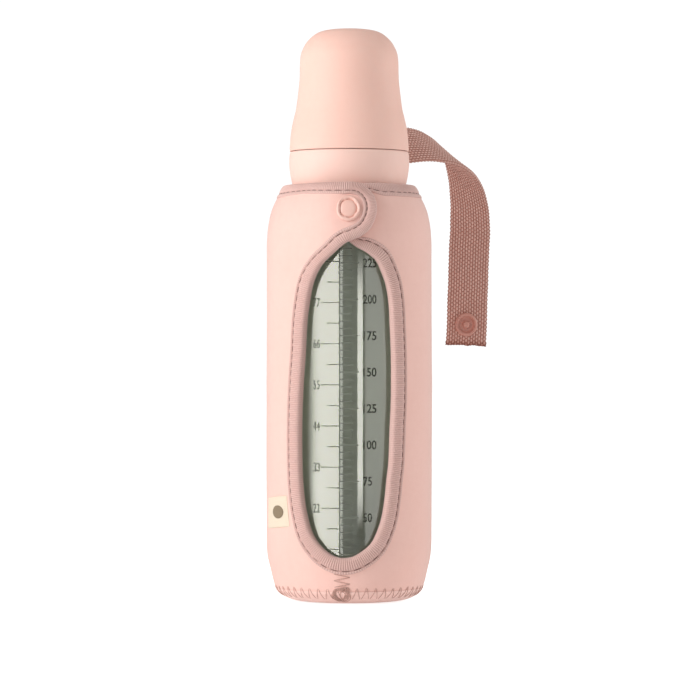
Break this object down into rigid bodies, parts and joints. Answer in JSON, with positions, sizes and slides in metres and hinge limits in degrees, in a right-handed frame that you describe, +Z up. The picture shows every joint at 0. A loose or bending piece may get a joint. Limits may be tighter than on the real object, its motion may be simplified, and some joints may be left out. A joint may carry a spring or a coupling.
{
  "type": "baby bottle",
  "caption": "Glass feeding bottle with teat, screw collar and dome cap, in a soft zipless sleeve with a window, a snap closure tab and a webbing strap.",
  "frame": {"origin": "centre of the sleeve's flat underside, on the surface it stands on", "axes": "+Z up along the bottle, -Y out through the window and the closure tab, +X to the side the strap hangs"},
  "size_m": [0.0827, 0.0843, 0.2054],
  "materials": {
    "glass": "clear glass, faint olive tint, smooth",
    "teat": "soft translucent silicone, satin",
    "pp_collar": "satin moulded polypropylene",
    "pp_cap": "satin moulded polypropylene",
    "neoprene": "fine jersey-faced neoprene, matte",
    "binding_tape": "ribbed elastic binding tape",
    "snap_pink": "painted metal-look snap, satin gloss",
    "webbing": "coarse plain-woven webbing",
    "snap_rose": "satin moulded snap",
    "label_ribbon": "smooth woven ribbon label",
    "thread": "twisted sewing thread"
  },
  "bodies": {
    "sleeve": {"sleeve_wrap": "neoprene", "sleeve_base": "neoprene", "edge_binding": "binding_tape", "side_label": "label_ribbon", "base_seam_thread": "thread", "front_seam_thread": "thread", "lap_snap_stud": "snap_pink", "lap_snap_ring": "snap_pink", "strap_root": "webbing", "strap_root_stitch": "thread", "root_snap_socket": "snap_rose"},
    "bottle": {"glass_bottle": "glass"},
    "teat": {"nipple": "teat"},
    "collar": {"collar_ring": "pp_collar"},
    "cap": {"dome_cap": "pp_cap"},
    "tab": {"closure_tab": "neoprene", "tab_binding": "binding_tape", "tab_snap_ring": "snap_pink", "tab_snap_socket": "snap_pink"},
    "strap_upper": {"strap_arch": "webbing"},
    "strap_lower": {"strap_drop": "webbing", "strap_snap_stud": "snap_rose", "strap_snap_cap": "snap_rose"}
  },
  "joints": [
    {"name": "bottle_turn", "type": "hinge", "parent": "sleeve", "child": "bottle", "pos_m": [0, 0, 0.075], "axis": [0, 0, 1], "continuous": true},
    {"name": "teat_lift", "type": "slide", "parent": "bottle", "child": "teat", "axis": [0, 0, 1], "range_m": [0, 0.0075]},
    {"name": "collar_turn", "type": "hinge", "parent": "teat", "child": "collar", "pos_m": [0, 0, 0.155], "axis": [0, 0, 1], "range_deg": [0, 540]},
    {"name": "cap_lift", "type": "slide", "parent": "collar", "child": "cap", "axis": [0, 0, 1], "range_m": [0, 0.06]},
    {"name": "tab_open", "type": "hinge", "parent": "sleeve", "child": "tab", "pos_m": [-0.00963, -0.02719, 0.136], "axis": [-0.0655, -0.1849, -0.9806], "range_deg": [0, 95]},
    {"name": "strap_swing", "type": "hinge", "parent": "sleeve", "child": "strap_upper", "pos_m": [-0.0116, 0.0229, 0.1509], "axis": [-0.8918, -0.4524, 0], "range_deg": [0, 50]},
    {"name": "strap_hang", "type": "hinge", "parent": "strap_upper", "child": "strap_lower", "pos_m": [0.04527, 0.04826, 0.13357], "axis": [0.9948, -0.0869, -0.0536], "range_deg": [-30, 45]}
  ],
  "couplings": [
    {"joint": "teat_lift", "follows": "collar_turn", "m_per_rad": 0.00079577}
  ]
}
